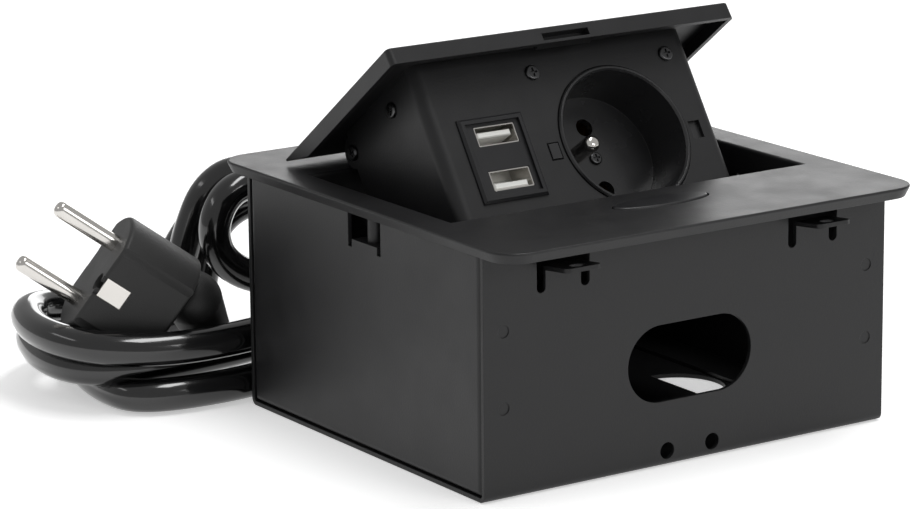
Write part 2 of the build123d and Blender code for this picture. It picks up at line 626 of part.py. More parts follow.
def latch_guide():
    """Channel under the frame that carries the latch and its spring."""
    half = GUIDE_WIDTH / 2
    top = BOX_WALL_TOP
    latch_bottom = FRAME_TOP - LATCH_FLOOR - LATCH_PLATE
    floor_top = latch_bottom - LATCH_PLAY
    end = GUIDE_FRONT + GUIDE_RIM
    floor = block(-half, half, GUIDE_BACK, end, floor_top - GUIDE_SHEET, floor_top)
    body = floor + block(-half, half, GUIDE_BACK, GUIDE_BACK + GUIDE_RIM,
                         floor_top, floor_top + GUIDE_RIM_HEIGHT)
    for side in (-1, 1):
        low, high = sorted((side * half, side * (half - GUIDE_SHEET)))
        body = body + block(low, high, GUIDE_BACK, end, floor_top, top)
        low, high = sorted((side * half, side * (half + GUIDE_FLANGE)))
        flange = block(low, high, GUIDE_BACK + GUIDE_RIM_HEIGHT, GUIDE_FRONT, top - GUIDE_SHEET, top)
        x = side * (half + GUIDE_FLANGE / 2)
        hole = rod((x, BUTTON_Y, top - GUIDE_SHEET - PAST), (x, BUTTON_Y, top + PAST),
                   SCREW_RADIUS + SCREW_CLEARANCE)
        body = body + (flange - hole)
        rib_in = LATCH_WIDTH / 2 + LATCH_GAP
        low, high = sorted((side * rib_in, side * (rib_in + GUIDE_RIB)))
        body = body + block(low, high, GUIDE_BACK, end, floor_top, floor_top + GUIDE_RIB_HEIGHT)
    return body


def guide_screws():
    """Screws that hold the latch channel under the frame."""
    x = GUIDE_WIDTH / 2 + GUIDE_FLANGE / 2
    plane = Plane(origin=(x, BUTTON_Y, BOX_WALL_TOP - GUIDE_SHEET), x_dir=(1, 0, 0), z_dir=(0, 0, -1))
    return both_sides(pan_screw(plane, GUIDE_SCREW_LENGTH))


def coil(centre, axis, radius, wire, turns, length):
    """Coil spring of round wire about an axis through its middle."""
    plane = Plane(origin=Vector(centre) - Vector(axis) * (length / 2), z_dir=axis)
    path = Helix(pitch=length / turns, height=length, radius=radius)
    start = path @ 0
    section = Plane(origin=start, z_dir=path % 0) * RegularPolygon(wire / 2, 6)
    return plane * sweep(section, path=path, is_frenet=True)


def return_springs():
    """Two upright springs that lift the button, and with it draw the latch forward."""
    floor_top = FRAME_TOP - LATCH_FLOOR - LATCH_PLATE - LATCH_PLAY
    under_button = BOX_WALL_TOP - WELL_DEPTH - LUG_PLAY
    length = under_button - floor_top - RETURN_SPRING_WIRE - 2 * SPRING_SEAT
    middle = (RETURN_SPRING_X, BUTTON_Y, (under_button + floor_top) / 2)
    spring = coil(middle, (0, 0, 1), RETURN_SPRING_RADIUS, RETURN_SPRING_WIRE, RETURN_SPRING_TURNS, length)
    return [spring, Pos(-2 * RETURN_SPRING_X, 0, 0) * spring]


# Hinge
def bracket_x():
    """Inner face of the right hinge bracket."""
    return CHEEK_X + BRACKET_GAP


def hinge_bracket():
    """Right bracket: a plate for the axle folded to a flange on the back wall."""
    x0 = bracket_x()
    wall = HALF_DEPTH - 2 * SHEET
    ear = rod((x0, HINGE_Y, HINGE_Z), (x0 + BRACKET_SHEET, HINGE_Y, HINGE_Z), BRACKET_RADIUS)
    bottom, top = HINGE_Z - BRACKET_BELOW, HINGE_Z + BRACKET_ABOVE
    web = block(x0, x0 + BRACKET_SHEET, HINGE_Y, wall, bottom, top)
    flange = block(x0, x0 + BRACKET_SHEET + BRACKET_FLANGE, wall - BRACKET_SHEET, wall, bottom, top)
    flange = fillet(flange.edges().filter_by(Axis.Y).group_by(Axis.X)[-1], BRACKET_CORNER)
    body = ear + web + flange
    x1 = x0 + BRACKET_SHEET + PAST
    body = body - rod((x0 - PAST, HINGE_Y, HINGE_Z), (x1, HINGE_Y, HINGE_Z), AXLE_RADIUS + RUNNING_FIT)
    inner = wall - BRACKET_SHEET - PAST
    holes = [rod((x, inner, z), (x, wall + PAST, z), RIVET_RADIUS + RUNNING_FIT) for x, z in rivet_places()]
    return body - holes


def hinge_rivets():
    """Rivets that hold both brackets to the back wall."""
    rivets = []
    inner = HALF_DEPTH - 2 * SHEET - BRACKET_SHEET
    for x, z in rivet_places():
        head = rod((x, HALF_DEPTH, z), (x, HALF_DEPTH + RIVET_HEAD_HEIGHT, z), RIVET_HEAD_RADIUS)
        head = fillet(head.edges().group_by(Axis.Y)[-1], RIVET_HEAD_HEIGHT * 0.8)
        shank = rod((x, inner, z), (x, HALF_DEPTH, z), RIVET_RADIUS)
        tail = rod((x, inner - RIVET_TAIL_HEIGHT, z), (x, inner, z), RIVET_TAIL_RADIUS)
        rivets.append(head + shank + tail)
    return rivets


def hinge_axle():
    """Axle through both brackets and the carriage's barrels."""
    end = bracket_x() + BRACKET_SHEET + CLIP_THICKNESS + AXLE_OVERHANG
    axle = rod((-end, HINGE_Y, HINGE_Z), (end, HINGE_Y, HINGE_Z), AXLE_RADIUS)
    return chamfer(axle.edges().filter_by(GeomType.CIRCLE), AXLE_CHAMFER)


def hinge_clips():
    """Open retaining rings outside the brackets."""
    x0 = bracket_x() + BRACKET_SHEET + CLIP_PLAY
    ring = rod((x0, HINGE_Y, HINGE_Z), (x0 + CLIP_THICKNESS, HINGE_Y, HINGE_Z), CLIP_RADIUS)
    x1 = x0 + CLIP_THICKNESS + PAST
    ring = ring - rod((x0 - PAST, HINGE_Y, HINGE_Z), (x1, HINGE_Y, HINGE_Z), AXLE_RADIUS + RUNNING_FIT)
    half = CLIP_GAP / 2
    gap = block(x0 - PAST, x1, HINGE_Y - half, HINGE_Y + half, HINGE_Z, HINGE_Z + CLIP_RADIUS + PAST)
    return both_sides(ring - gap)


def torsion_spring():
    """Right spring: coil round the axle with one leg to the bracket and one to the arm."""
    length = SPRING_TURNS * (SPRING_WIRE + SPRING_GAP)
    middle = CHEEK_X + BRACKET_GAP / 2
    return coil((middle, HINGE_Y, HINGE_Z), (1, 0, 0), SPRING_COIL_RADIUS, SPRING_WIRE, SPRING_TURNS, length)


# Carriage, laid out closed
def face_plane(depth=0.0):
    """Plane on the face: X across, Y up the face from its foot, Z outwards."""
    lean = math.radians(FACE_LEAN)
    normal = Vector(0, -math.cos(lean), -math.sin(lean))
    foot = Vector(0, FACE_FOOT_Y, FRAME_TOP - FACE_FOOT_BELOW_TOP)
    return Plane(origin=foot - normal * depth, x_dir=(1, 0, 0), z_dir=normal)


def face_y(z):
    """Y of the face's front surface at a height."""
    return FACE_FOOT_Y - (z - FRAME_TOP + FACE_FOOT_BELOW_TOP) * math.tan(math.radians(FACE_LEAN))


def on_face(shape, x, s, depth=0.0):
    """Puts a shape on the face at (x, s), sunk by a depth."""
    return face_plane(depth) * Pos(x, s, 0) * shape


def carriage_top():
    """Height of the carriage's upper edge, under the closed lid."""
    return FRAME_TOP - LID_SHEET


def cheek_outline():
    """Side outline of the carriage, (y, z), from the face's foot round to the back."""
    top, bottom = carriage_top(), FRAME_TOP - FACE_BOTTOM_BELOW_TOP
    arm_top, arm_bottom = HINGE_Z + ARM_HALF_HEIGHT, HINGE_Z - ARM_HALF_HEIGHT
    return [(face_y(bottom), bottom), (face_y(top), top), (LID_SCREW_PLACES[1][0], top),
            (CHEEK_BACK, FRAME_TOP - EAR_DROP), (CHEEK_BACK, arm_top),
            (HINGE_Y, arm_top), (HINGE_Y, arm_bottom),
            (CHEEK_HIP[0] + CHEEK_HIP_RUN, arm_bottom), (CHEEK_HIP[0], FRAME_TOP - CHEEK_HIP[1]),
            (CHEEK_BOTTOM_BACK, bottom)]


def socket_screw_places():
    """Face places of the four socket screws."""
    return [(SOCKET_X + i * SOCKET_SCREW_X, SOCKET_S + j * SOCKET_SCREW_S) for i in (-1, 1) for j in (-1, 1)]


def carriage_shell():
    """Folded sheet: face in front, a cheek on each side, arms back to the hinge."""
    solid = yz_slab(cheek_outline(), -CHEEK_X, CHEEK_X)
    lobe_y, lobe_drop = LID_SCREW_PLACES[1]
    lobe_z = FRAME_TOP - lobe_drop
    solid = solid + rod((-CHEEK_X, lobe_y, lobe_z), (CHEEK_X, lobe_y, lobe_z), CHEEK_LOBE_RADIUS)
    solid = solid + rod((-CHEEK_X, HINGE_Y, HINGE_Z), (CHEEK_X, HINGE_Y, HINGE_Z), ARM_HALF_HEIGHT)
    top, bottom = carriage_top(), FRAME_TOP - FACE_BOTTOM_BELOW_TOP
    front = [edge for edge in solid.edges() if abs(abs(edge.center().X) - CHEEK_X) < 0.01
             and abs(edge.center().Y - face_y((top + bottom) / 2)) < 0.5 and edge.length > 40]
    solid = fillet(front, FACE_FOLD_RADIUS)
    inner_top, inner_bottom = top + CORE_PAST, bottom - CORE_PAST
    core_back = HINGE_Y + ARM_HALF_HEIGHT + CORE_PAST
    core = yz_slab([(face_y(inner_bottom) + SHEET, inner_bottom), (face_y(inner_top) + SHEET, inner_top),
                    (core_back, inner_top), (core_back, inner_bottom)], -CHEEK_X + SHEET, CHEEK_X - SHEET)
    front = [edge for edge in core.edges() if abs(abs(edge.center().X) - CHEEK_X + SHEET) < 0.01
             and edge.center().Y < face_y((top + bottom) / 2) + 3 and edge.length > 40]
    core = fillet(front, FACE_FOLD_RADIUS - SHEET)
    shell = solid - core
    for side in (-1, 1):
        inner = side * (CHEEK_X - SHEET)
        barrel = rod((inner, HINGE_Y, HINGE_Z), (inner - side * BARREL_LENGTH, HINGE_Y, HINGE_Z),
                     BARREL_RADIUS)
        shell = shell + barrel
        for y, drop in LID_SCREW_PLACES:
            z = FRAME_TOP - drop
            hole = rod((side * (CHEEK_X + PAST), y, z), (side * (CHEEK_X - SHEET - PAST), y, z),
                       SCREW_RADIUS + SCREW_CLEARANCE)
            shell = shell - hole
    ends = [(side * (CHEEK_X + PAST), HINGE_Y, HINGE_Z) for side in (-1, 1)]
    shell = shell - rod(ends[0], ends[1], AXLE_RADIUS + RUNNING_FIT)
    through = SHEET + 2 * PAST
    sunk = SHEET + PAST
    cuts = [on_face(extrude(Circle(CUP_RADIUS + CUP_FIT), through), SOCKET_X, SOCKET_S, sunk)]
    shoulder = BEZEL_SHOULDER - CUP_FIT
    mouth = Rectangle(BEZEL_WIDTH - 2 * shoulder, BEZEL_HEIGHT - 2 * shoulder)
    cuts.append(on_face(extrude(mouth, through), BEZEL_X, BEZEL_S, sunk))
    for x, s in socket_screw_places():
        cuts.append(on_face(extrude(Circle(SCREW_RADIUS + SCREW_CLEARANCE), through), x, s, sunk))
    window = extrude(Rectangle(SNAP_WIDTH, SNAP_HEIGHT), through)
    for side in (-1, 1):
        x = SOCKET_X + side * (CUP_RADIUS + SNAP_REACH)
        cuts.append(on_face(window, x, SOCKET_S - SNAP_DROP, sunk))
    return shell - cuts


def socket_cup():
    """Moulded socket: lipped cup, pin holes, snap pad and the plate behind the face."""
    profile = Polyline((0, -CUP_DEPTH), (CUP_FLOOR_RADIUS, -CUP_DEPTH), (CUP_MOUTH_RADIUS, 0.2),
                       (CUP_MOUTH_RADIUS + 0.5, CUP_LIP), (CUP_RADIUS - 0.4, CUP_LIP), (CUP_RADIUS, 0.3),
                       (CUP_RADIUS, -CUP_DEPTH - CUP_FLOOR), (0, -CUP_DEPTH - CUP_FLOOR), close=True)
    cup = revolve(Plane.XZ * make_face(profile), Axis.Z)
    plate = extrude(RectangleRounded(SOCKET_PLATE_WIDTH, SOCKET_PLATE_HEIGHT, 3.0), SOCKET_PLATE)
    plate = Pos(0, 0, -SHEET - SOCKET_PLATE) * plate - extrude(Circle(CUP_RADIUS - 0.5), 40, both=True)
    cup = cup + plate
    for side in (-1, 1):
        start = Pos(0, side * PIN_SPACING / 2, -CUP_DEPTH - CUP_FLOOR - PAST)
        cup = cup - start * extrude(Circle(PIN_HOLE_RADIUS), CUP_FLOOR + 2 * PAST)
    pad = Box(SNAP_WIDTH - 2 * SNAP_GAP, SNAP_HEIGHT - 2 * SNAP_GAP, SHEET + SNAP_PROUD)
    pad = fillet(pad.edges().group_by(Axis.Z)[-1], SNAP_PROUD * 0.9)
    cup = cup + Pos(-CUP_RADIUS - SNAP_REACH, -SNAP_DROP, (SNAP_PROUD - SHEET) / 2) * pad
    for i in (-1, 1):
        for j in (-1, 1):
            cup = cup - Pos(i * SOCKET_SCREW_X, j * SOCKET_SCREW_S, -9) * extrude(Circle(SCREW_RADIUS), 9)
    pin_bore = Pos(-EARTH_PIN_OFFSET, 0, -CUP_DEPTH - 8) * extrude(Circle(EARTH_PIN_RADIUS + RUNNING_FIT), 9)
    screw_bore = Pos(0, 0, -CUP_DEPTH - 8) * extrude(Circle(SCREW_RADIUS + RUNNING_FIT), 9)
    return on_face(cup - pin_bore - screw_bore, SOCKET_X, SOCKET_S)


def socket_base():
    """Terminal block behind the cup's floor."""
    bottom = -CUP_DEPTH - CUP_FLOOR - SOCKET_BASE_DEPTH
    outline = RectangleRounded(SOCKET_BASE_WIDTH, SOCKET_BASE_WIDTH, SOCKET_BASE_CORNER)
    base = Pos(0, 0, bottom) * extrude(outline, SOCKET_BASE_DEPTH)
    base = fillet(base.edges().group_by(Axis.Z)[0], SOCKET_BASE_ROUND)
    radius = PIN_HOLE_RADIUS + CONTACT_WALL + RUNNING_FIT
    for side in (-1, 1):
        bore = Pos(0, side * PIN_SPACING / 2, -CUP_DEPTH - CUP_FLOOR - CONTACT_LENGTH - 2 * RUNNING_FIT)
        base = base - bore * extrude(Circle(radius), CONTACT_LENGTH + PAST)
    start = -CUP_DEPTH - CUP_FLOOR - BASE_BORE_DEPTH
    for x, size in ((-EARTH_PIN_OFFSET, EARTH_PIN_RADIUS), (0, SCREW_RADIUS)):
        base = base - Pos(x, 0, start) * extrude(Circle(size + RUNNING_FIT), BASE_BORE_DEPTH + PAST)
    return on_face(base, SOCKET_X, SOCKET_S)


def contact_sleeve(side):
    """Brass sleeve behind one pin hole."""
    ring = Circle(PIN_HOLE_RADIUS + CONTACT_WALL) - Circle(PIN_HOLE_RADIUS)
    start = Pos(0, side * PIN_SPACING / 2, -CUP_DEPTH - CUP_FLOOR - CONTACT_LENGTH)
    return on_face(start * extrude(ring, CONTACT_LENGTH - RUNNING_FIT), SOCKET_X, SOCKET_S)


def earth_pin():
    """Round-nosed earth pin that stands up from the cup's floor."""
    tip = -CUP_DEPTH + EARTH_PIN_REACH
    start = -CUP_DEPTH - CUP_FLOOR - EARTH_PIN_ROOT
    pin = Pos(0, 0, start) * extrude(Circle(EARTH_PIN_RADIUS), tip - start)
    pin = fillet(pin.edges().group_by(Axis.Z)[-1], EARTH_PIN_RADIUS * 0.8)
    return on_face(Pos(-EARTH_PIN_OFFSET, 0, 0) * pin, SOCKET_X, SOCKET_S)


def face_screws():
    """Four screws at the socket's corners."""
    return [pan_screw(face_plane() * Pos(x, s, 0) * Plane.XY, SHEET + THREAD_DEPTH)
            for x, s in socket_screw_places()]


def floor_screw():
    """Middle screw in the cup's floor."""
    return pan_screw(face_plane(CUP_DEPTH) * Pos(SOCKET_X, SOCKET_S, 0) * Plane.XY, FLOOR_SCREW_LENGTH,
                     FLOOR_SCREW_HEAD_RADIUS)


def port_bezel():
    """Raised bevelled surround with a recessed plate and two port openings."""
    plate = extrude(Rectangle(BEZEL_WIDTH, BEZEL_HEIGHT), BEZEL_PROUD)
    plate = chamfer(plate.edges().group_by(Axis.Z)[-1], 0.7)
    neck = Rectangle(BEZEL_WIDTH - 2 * BEZEL_SHOULDER, BEZEL_HEIGHT - 2 * BEZEL_SHOULDER)
    tail = Pos(0, 0, -SHEET - BEZEL_TAIL) * extrude(neck, SHEET + BEZEL_TAIL)
    pocket = Pos(0, 0, BEZEL_PROUD - BEZEL_RECESS)
    pocket = pocket * extrude(Rectangle(BEZEL_WIDTH - 2 * BEZEL_RIM, BEZEL_HEIGHT - 2 * BEZEL_RIM), 2)
    body = plate + tail - pocket
    for s in PORT_HEIGHTS:
        mouth = Rectangle(PORT_WIDTH + 2 * RUNNING_FIT, PORT_HEIGHT + 2 * RUNNING_FIT)
        body = body - Pos(PORT_X - BEZEL_X, s - BEZEL_S, 0) * extrude(mouth, 6, both=True)
    return on_face(body, BEZEL_X, BEZEL_S)


def port_shell(s):
    """Folded steel shell of one charging port."""
    ring = RectangleRounded(PORT_WIDTH, PORT_HEIGHT, 0.5)
    ring = ring - Rectangle(PORT_WIDTH - 2 * PORT_WALL, PORT_HEIGHT - 2 * PORT_WALL)
    body = extrude(ring, PORT_DEPTH)
    return on_face(Pos(0, 0, BEZEL_PROUD - BEZEL_RECESS - 0.15 - PORT_DEPTH) * body, PORT_X, s)


def port_tongue(s, shift):
    """Insulating tongue inside one port, with its back wall."""
    top = BEZEL_PROUD - BEZEL_RECESS - 1.0
    floor = BEZEL_PROUD - BEZEL_RECESS - 0.15 - PORT_DEPTH
    fit = 2 * (PORT_WALL + RUNNING_FIT)
    wall = Pos(0, 0, floor) * extrude(Rectangle(PORT_WIDTH - fit, PORT_HEIGHT - fit), 2.0)
    blade = Pos(0, shift, floor) * extrude(Rectangle(TONGUE_WIDTH, TONGUE_THICKNESS), top - floor)
    blade = chamfer(blade.edges().group_by(Axis.Z)[-1], 0.3)
    return on_face(wall + blade, PORT_X, s)


def charger_case():
    """Case of the charging circuit behind the ports."""
    top = BEZEL_PROUD - BEZEL_RECESS - 0.15 - PORT_DEPTH
    outline = RectangleRounded(CHARGER_WIDTH, CHARGER_HEIGHT, CHARGER_WALL)
    case = Pos(0, 0, top - CHARGER_DEPTH) * extrude(outline, CHARGER_DEPTH)
    sleeve = RectangleRounded(CHARGER_WIDTH, CHARGER_HEIGHT, CHARGER_WALL)
    sleeve = sleeve - Rectangle(CHARGER_WIDTH - 2 * CHARGER_WALL, CHARGER_HEIGHT - 2 * CHARGER_WALL)
    collar = Pos(0, 0, top) * extrude(sleeve, PORT_DEPTH - 3.6)
    return on_face(case + collar, BEZEL_X, BEZEL_S)


def lid():
    """Shallow tray lid with its latch keeper, bevelled back and two inner ears."""
    half = LID_WIDTH / 2
    top = FRAME_TOP
    outline = [(LID_FRONT, top), (LID_BACK, top), (LID_BACK, top - LID_BACK_EDGE),
               (LID_BACK - LID_TAPER_LENGTH, top - LID_SKIRT), (LID_FRONT, top - LID_SKIRT)]
    solid = yz_slab(outline, -half, half)
    solid = fillet(solid.edges().filter_by(Axis.Z).group_by(Axis.Y)[0], LID_CORNER)
    solid = fillet(solid.edges().group_by(Axis.Z)[-1], LID_EDGE_ROUND)
    under = top - LID_SHEET
    hollow = yz_slab([(LID_FRONT + LID_SKIRT_WALL, under), (LID_BACK - LID_BACK_BEVEL, under),
                      (LID_BACK + 1, top - LID_BACK_EDGE - 0.01), (LID_BACK + 1, top - LID_SKIRT - 1),
                      (LID_FRONT + LID_SKIRT_WALL, top - LID_SKIRT - 1)],
                     -half + LID_SKIRT_WALL, half - LID_SKIRT_WALL)
    keeper_half = KEEPER_WIDTH / 2 + KEEPER_WALL
    keeper = block(-keeper_half, keeper_half, LID_FRONT, LID_FRONT + LID_FRONT_WALL, top - LID_SKIRT, under)
    pocket = yz_slab([(LID_FRONT - 1, top - KEEPER_TOP), (LID_FRONT + KEEPER_DEPTH, top - KEEPER_TOP),
                      (LID_FRONT + KEEPER_DEPTH, top - KEEPER_BOTTOM + KEEPER_SLOPE),
                      (LID_FRONT - 1, top - KEEPER_BOTTOM)],
                     -KEEPER_WIDTH / 2, KEEPER_WIDTH / 2)
    body = (solid - hollow) + keeper - pocket
    screw_y, screw_drop = LID_SCREW_PLACES[1]
    for side in (-1, 1):
        outer = side * (CHEEK_X - SHEET)
        inner = outer - side * EAR_SHEET
        low, high = sorted((outer, inner))
        ear = block(low, high, EAR_FRONT, screw_y, top - EAR_DROP, under)
        round_back = rod((low, screw_y, top - screw_drop), (high, screw_y, top - screw_drop),
                         CHEEK_LOBE_RADIUS - 0.4)
        body = body + ear + round_back
        for y, drop in LID_SCREW_PLACES:
            z = top - drop
            body = body - rod((low - 1, y, z), (high + 1, y, z), SCREW_RADIUS)
    return body


def lid_screws():
    """Two screws in each cheek, into the lid's ears."""
    screws = []
    for y, drop in LID_SCREW_PLACES:
        plane = Plane(origin=(CHEEK_X, y, FRAME_TOP - drop), x_dir=(0, 1, 0), z_dir=(1, 0, 0))
        screws.extend(both_sides(pan_screw(plane, SHEET + EAR_SHEET)))
    return screws


# Lead
def cord_gland():
    """Gland in the back wall, with a tapered sleeve for the lead."""
    wall = HALF_DEPTH
    sleeve_radius = CORD_DIAMETER / 2 + GLAND_SLEEVE_WALL
    inner = wall - SHEET - GLAND_NUT_THICKNESS - GLAND_THREAD_END
    profile = Polyline((0, inner), (GLAND_THREAD_RADIUS, inner),
                       (GLAND_THREAD_RADIUS, wall), (GLAND_NUT_RADIUS - 0.6, wall),
                       (GLAND_NUT_RADIUS, wall + 0.6),
                       (GLAND_NUT_RADIUS, wall + GLAND_COLLAR),
                       (GLAND_THREAD_RADIUS + 0.9, wall + GLAND_COLLAR + 1.5),
                       (sleeve_radius, GLAND_END), (0, GLAND_END), close=True)
    turned = revolve(make_face(profile), Axis.Y)
    bore = Pos(0, inner - PAST, 0) * Rot(-90, 0, 0) * extrude(Circle(CORD_DIAMETER / 2), GLAND_NUT_RADIUS)
    return Pos(GLAND_X, 0, GLAND_Z) * (turned - bore)


def gland_nut():
    """Hexagon nut inside the box."""
    inner = HALF_DEPTH - SHEET - GLAND_NUT_THICKNESS
    ring = RegularPolygon(GLAND_NUT_RADIUS, 6) - Circle(GLAND_THREAD_RADIUS + RUNNING_FIT)
    plane = Plane(origin=(GLAND_X, inner, GLAND_Z), x_dir=(1, 0, 0), z_dir=(0, 1, 0))
    return extrude(plane * ring, GLAND_NUT_THICKNESS)


def corner_radii(points):
    """Arc radius at each corner of a cord's route, and prints them."""
    points = [Vector(*point) for point in points]
    radii = []
    for before, here, after in zip(points, points[1:], points[2:]):
        turn = math.radians((here - before).get_angle(after - here))
        shorter = min((here - before).length, (after - here).length)
        radii.append(0.45 * shorter / math.tan(turn / 2))
    print("cord radii", [round(radius, 1) for radius in radii])
    return radii


def cord_tube(points):
    """Tube along straight runs joined by tangent arcs."""
    path = FilletPolyline(*points, radius=corner_radii(points))
    tube = sweep(Plane(origin=path @ 0, z_dir=path % 0) * Circle(CORD_DIAMETER / 2), path=path)
    expected = math.pi * CORD_DIAMETER ** 2 / 4 * path.length
    print("cord length", round(path.length, 1), "volume", round(tube.volume), "expected", round(expected))
    return tube


def plug_plane():
    """Plane on the plug's face: X along the pins' line, Z out of the face."""
    across = PLUG_PIN_LINE - PLUG_AXIS * PLUG_PIN_LINE.dot(PLUG_AXIS) / PLUG_AXIS.dot(PLUG_AXIS)
    return Plane(origin=PLUG_FACE, x_dir=across, z_dir=PLUG_AXIS)


def neck_start():
    """Middle of the elbow behind the plug's body, where the neck begins."""
    return plug_plane().from_local_coords(Vector(-NECK_RISE, 0, -PLUG_LENGTH - NECK_BEHIND))


def neck_shape(grow):
    """Domed elbow and tapered neck, larger by a clearance."""
    neck = loft([Circle(NECK_RADIUS + grow), Pos(0, 0, NECK_LENGTH + grow) * Circle(NECK_END_RADIUS + grow)])
    return neck_plane() * (neck + Sphere(NECK_RADIUS + grow))


def neck_plane():
    """Plane at the elbow: Z down the neck, X towards the plug's face."""
    return Plane(origin=neck_start(), x_dir=PLUG_AXIS, z_dir=NECK_DIRECTION)


def tail_start():
    """End of the neck, and the point where its line meets the cord's height on the floor."""
    end = neck_start() + NECK_DIRECTION * NECK_LENGTH
    floor = end + NECK_DIRECTION * ((end.Z - CORD_DIAMETER / 2 - SPRING_SEAT) / -NECK_DIRECTION.Z)
    return [tuple(end), tuple(floor)]


def plug_outline(radius, flat):
    """Outline of the plug's body: a disc with two flat sides."""
    return Circle(radius) & Rectangle(2 * radius + PAST, 2 * flat)


def cord_coil():
    """Closed outer shape of the wound lead: its near side lies down and its far side is raised."""
    outer = RectangleRounded(COIL_WIDTH, COIL_REACH, COIL_CORNER)
    inner = RectangleRounded(COIL_WIDTH - 2 * COIL_SECTION, COIL_REACH - 2 * COIL_SECTION,
                             COIL_CORNER - COIL_SECTION)
    ring = extrude(outer - inner, COIL_SECTION / 2, both=True)
    ring = fillet(ring.edges(), COIL_SECTION * 0.42)
    ring = Rot(COIL_TILT, COIL_ROLL, 0) * ring
    ring = Pos(COIL_MIDDLE[0], COIL_MIDDLE[1], SPRING_SEAT - ring.bounding_box().min.Z) * ring
    gap = COIL_CLEARANCE
    disc = extrude(plug_outline(PLUG_RADIUS + gap, PLUG_FLAT + gap), -PLUG_LENGTH - gap)
    pins = SlotOverall(PIN_SPACING + 2 * PLUG_PIN_RADIUS + 2 * gap, 2 * PLUG_PIN_RADIUS + 2 * gap)
    room = disc + extrude(pins, PLUG_PIN_LENGTH + gap)
    return ring - plug_plane() * room - neck_shape(gap)


def plug_body():
    """Earthed plug with flat sides and guide grooves, without its pins and earth strips."""
    disc = extrude(plug_outline(PLUG_RADIUS, PLUG_FLAT), -PLUG_LENGTH)
    disc = fillet(disc.edges().group_by(Axis.Z)[-1] + disc.edges().group_by(Axis.Z)[0], PLUG_EDGE)
    middle = PLUG_RADIUS + PLUG_GROOVE_RADIUS - PLUG_GROOVE_DEPTH
    for angle in (PLUG_GROOVE_ANGLE, 180 - PLUG_GROOVE_ANGLE, -PLUG_GROOVE_ANGLE, PLUG_GROOVE_ANGLE - 180):
        groove = Rot(0, 0, angle) * Pos(middle, 0, -PLUG_LENGTH - PAST) * Circle(PLUG_GROOVE_RADIUS)
        disc = disc - extrude(groove, PLUG_LENGTH + 2 * PAST)
    for side in (-1, 1):
        pin_hole = Pos(side * PIN_SPACING / 2, 0, -PLUG_PIN_ROOT - SPRING_SEAT)
        disc = disc - pin_hole * extrude(Circle(PLUG_PIN_RADIUS + RUNNING_FIT), PLUG_PIN_ROOT + PAST)
        recess = Box(CLIP_WIDTH + 2 * RUNNING_FIT, 2 * CLIP_RECESS, 2 * CLIP_LENGTH)
        disc = disc - Pos(0, side * PLUG_FLAT, 0) * recess
    earth = Pos(0, EARTH_PIN_OFFSET, -PLUG_EARTH_DEPTH) * extrude(Circle(PLUG_EARTH_RADIUS),
                                                                  PLUG_EARTH_DEPTH + PAST)
    return plug_plane() * (disc - earth) - neck_shape(RUNNING_FIT)


def plug_pins():
    """Two round pins with rounded tips."""
    pins = []
    for side in (-1, 1):
        pin = Pos(side * PIN_SPACING / 2, 0, -PLUG_PIN_ROOT)
        pin = pin * extrude(Circle(PLUG_PIN_RADIUS), PLUG_PIN_LENGTH + PLUG_PIN_ROOT)
        pin = fillet(pin.edges().group_by(Axis.Z)[-1], PLUG_PIN_RADIUS * 0.75)
        pins.append(plug_plane() * pin)
    return pins


def plug_earth_clips():
    """Two earth strips in the recesses of the plug's flat sides."""
    clips = []
    for side in (-1, 1):
        strip = Box(CLIP_WIDTH, CLIP_SHEET, CLIP_LENGTH - PLUG_EDGE)
        y = side * (PLUG_FLAT - CLIP_RECESS + CLIP_SHEET / 2)
        clips.append(plug_plane() * (Pos(0, y, -(CLIP_LENGTH + PLUG_EDGE) / 2) * strip))
    return clips


def plug_neck():
    """Moulded elbow and neck, with slots near the lead."""
    neck = neck_shape(0)
    radius = (NECK_RADIUS + NECK_END_RADIUS) / 2
    for angle in NECK_SLOT_ANGLES:
        slot = Box(2 * NECK_SLOT_DEPTH, NECK_SLOT_WIDTH, NECK_SLOT_LENGTH)
        neck = neck - neck_plane() * Rot(0, 0, angle) * Pos(radius, 0, NECK_LENGTH * 0.65) * slot
    return neck


for word, panel in zip(("front_wall", "floor_plate", "back_wall"), box_panels()):
    save(word, panel)
panel = side_panel()
save("side_panel_left", panel)
save("side_panel_right", mirror(panel, Plane.YZ))
save("frame", frame())
save("frame_screws", *frame_screws())
save("release_button", release_button())
save("latch", latch())
save("latch_guide", latch_guide())
save("guide_screws", *guide_screws())
save("return_springs", *return_springs())
bracket = hinge_bracket()
save("hinge_bracket_right", bracket)
save("hinge_bracket_left", mirror(bracket, Plane.YZ))
save("hinge_rivets", *hinge_rivets())
save("hinge_axle", hinge_axle())
save("hinge_clips", *hinge_clips())
spring = torsion_spring()
save("torsion_spring_right", spring)
save("torsion_spring_left", mirror(spring, Plane.YZ))

save("carriage_shell", *swing_open(carriage_shell()))
save("socket_cup", *swing_open(socket_cup()))
save("socket_base", *swing_open(socket_base()))
save("contact_live", *swing_open(contact_sleeve(1)))
save("contact_neutral", *swing_open(contact_sleeve(-1)))
save("earth_pin", *swing_open(earth_pin()))
save("face_screws", *swing_open(*face_screws()))
save("socket_floor_screw", *swing_open(floor_screw()))
save("port_bezel", *swing_open(port_bezel()))
for word, height, offset in zip(("upper", "lower"), PORT_HEIGHTS, TONGUE_SHIFTS):
    save(f"port_shell_{word}", *swing_open(port_shell(height)))
    save(f"port_tongue_{word}", *swing_open(port_tongue(height, offset)))
save("charger_case", *swing_open(charger_case()))
save("lid", *swing_open(lid()))
save("lid_screws", *swing_open(*lid_screws()))
save("cord_gland", cord_gland())
save("gland_nut", gland_nut())
save("cord_coil", cord_coil())
save("cord_lead", cord_tube(LEAD_ROUTE))
save("cord_tail", cord_tube(tail_start() + TAIL_ROUTE))
save("plug_body", plug_body())
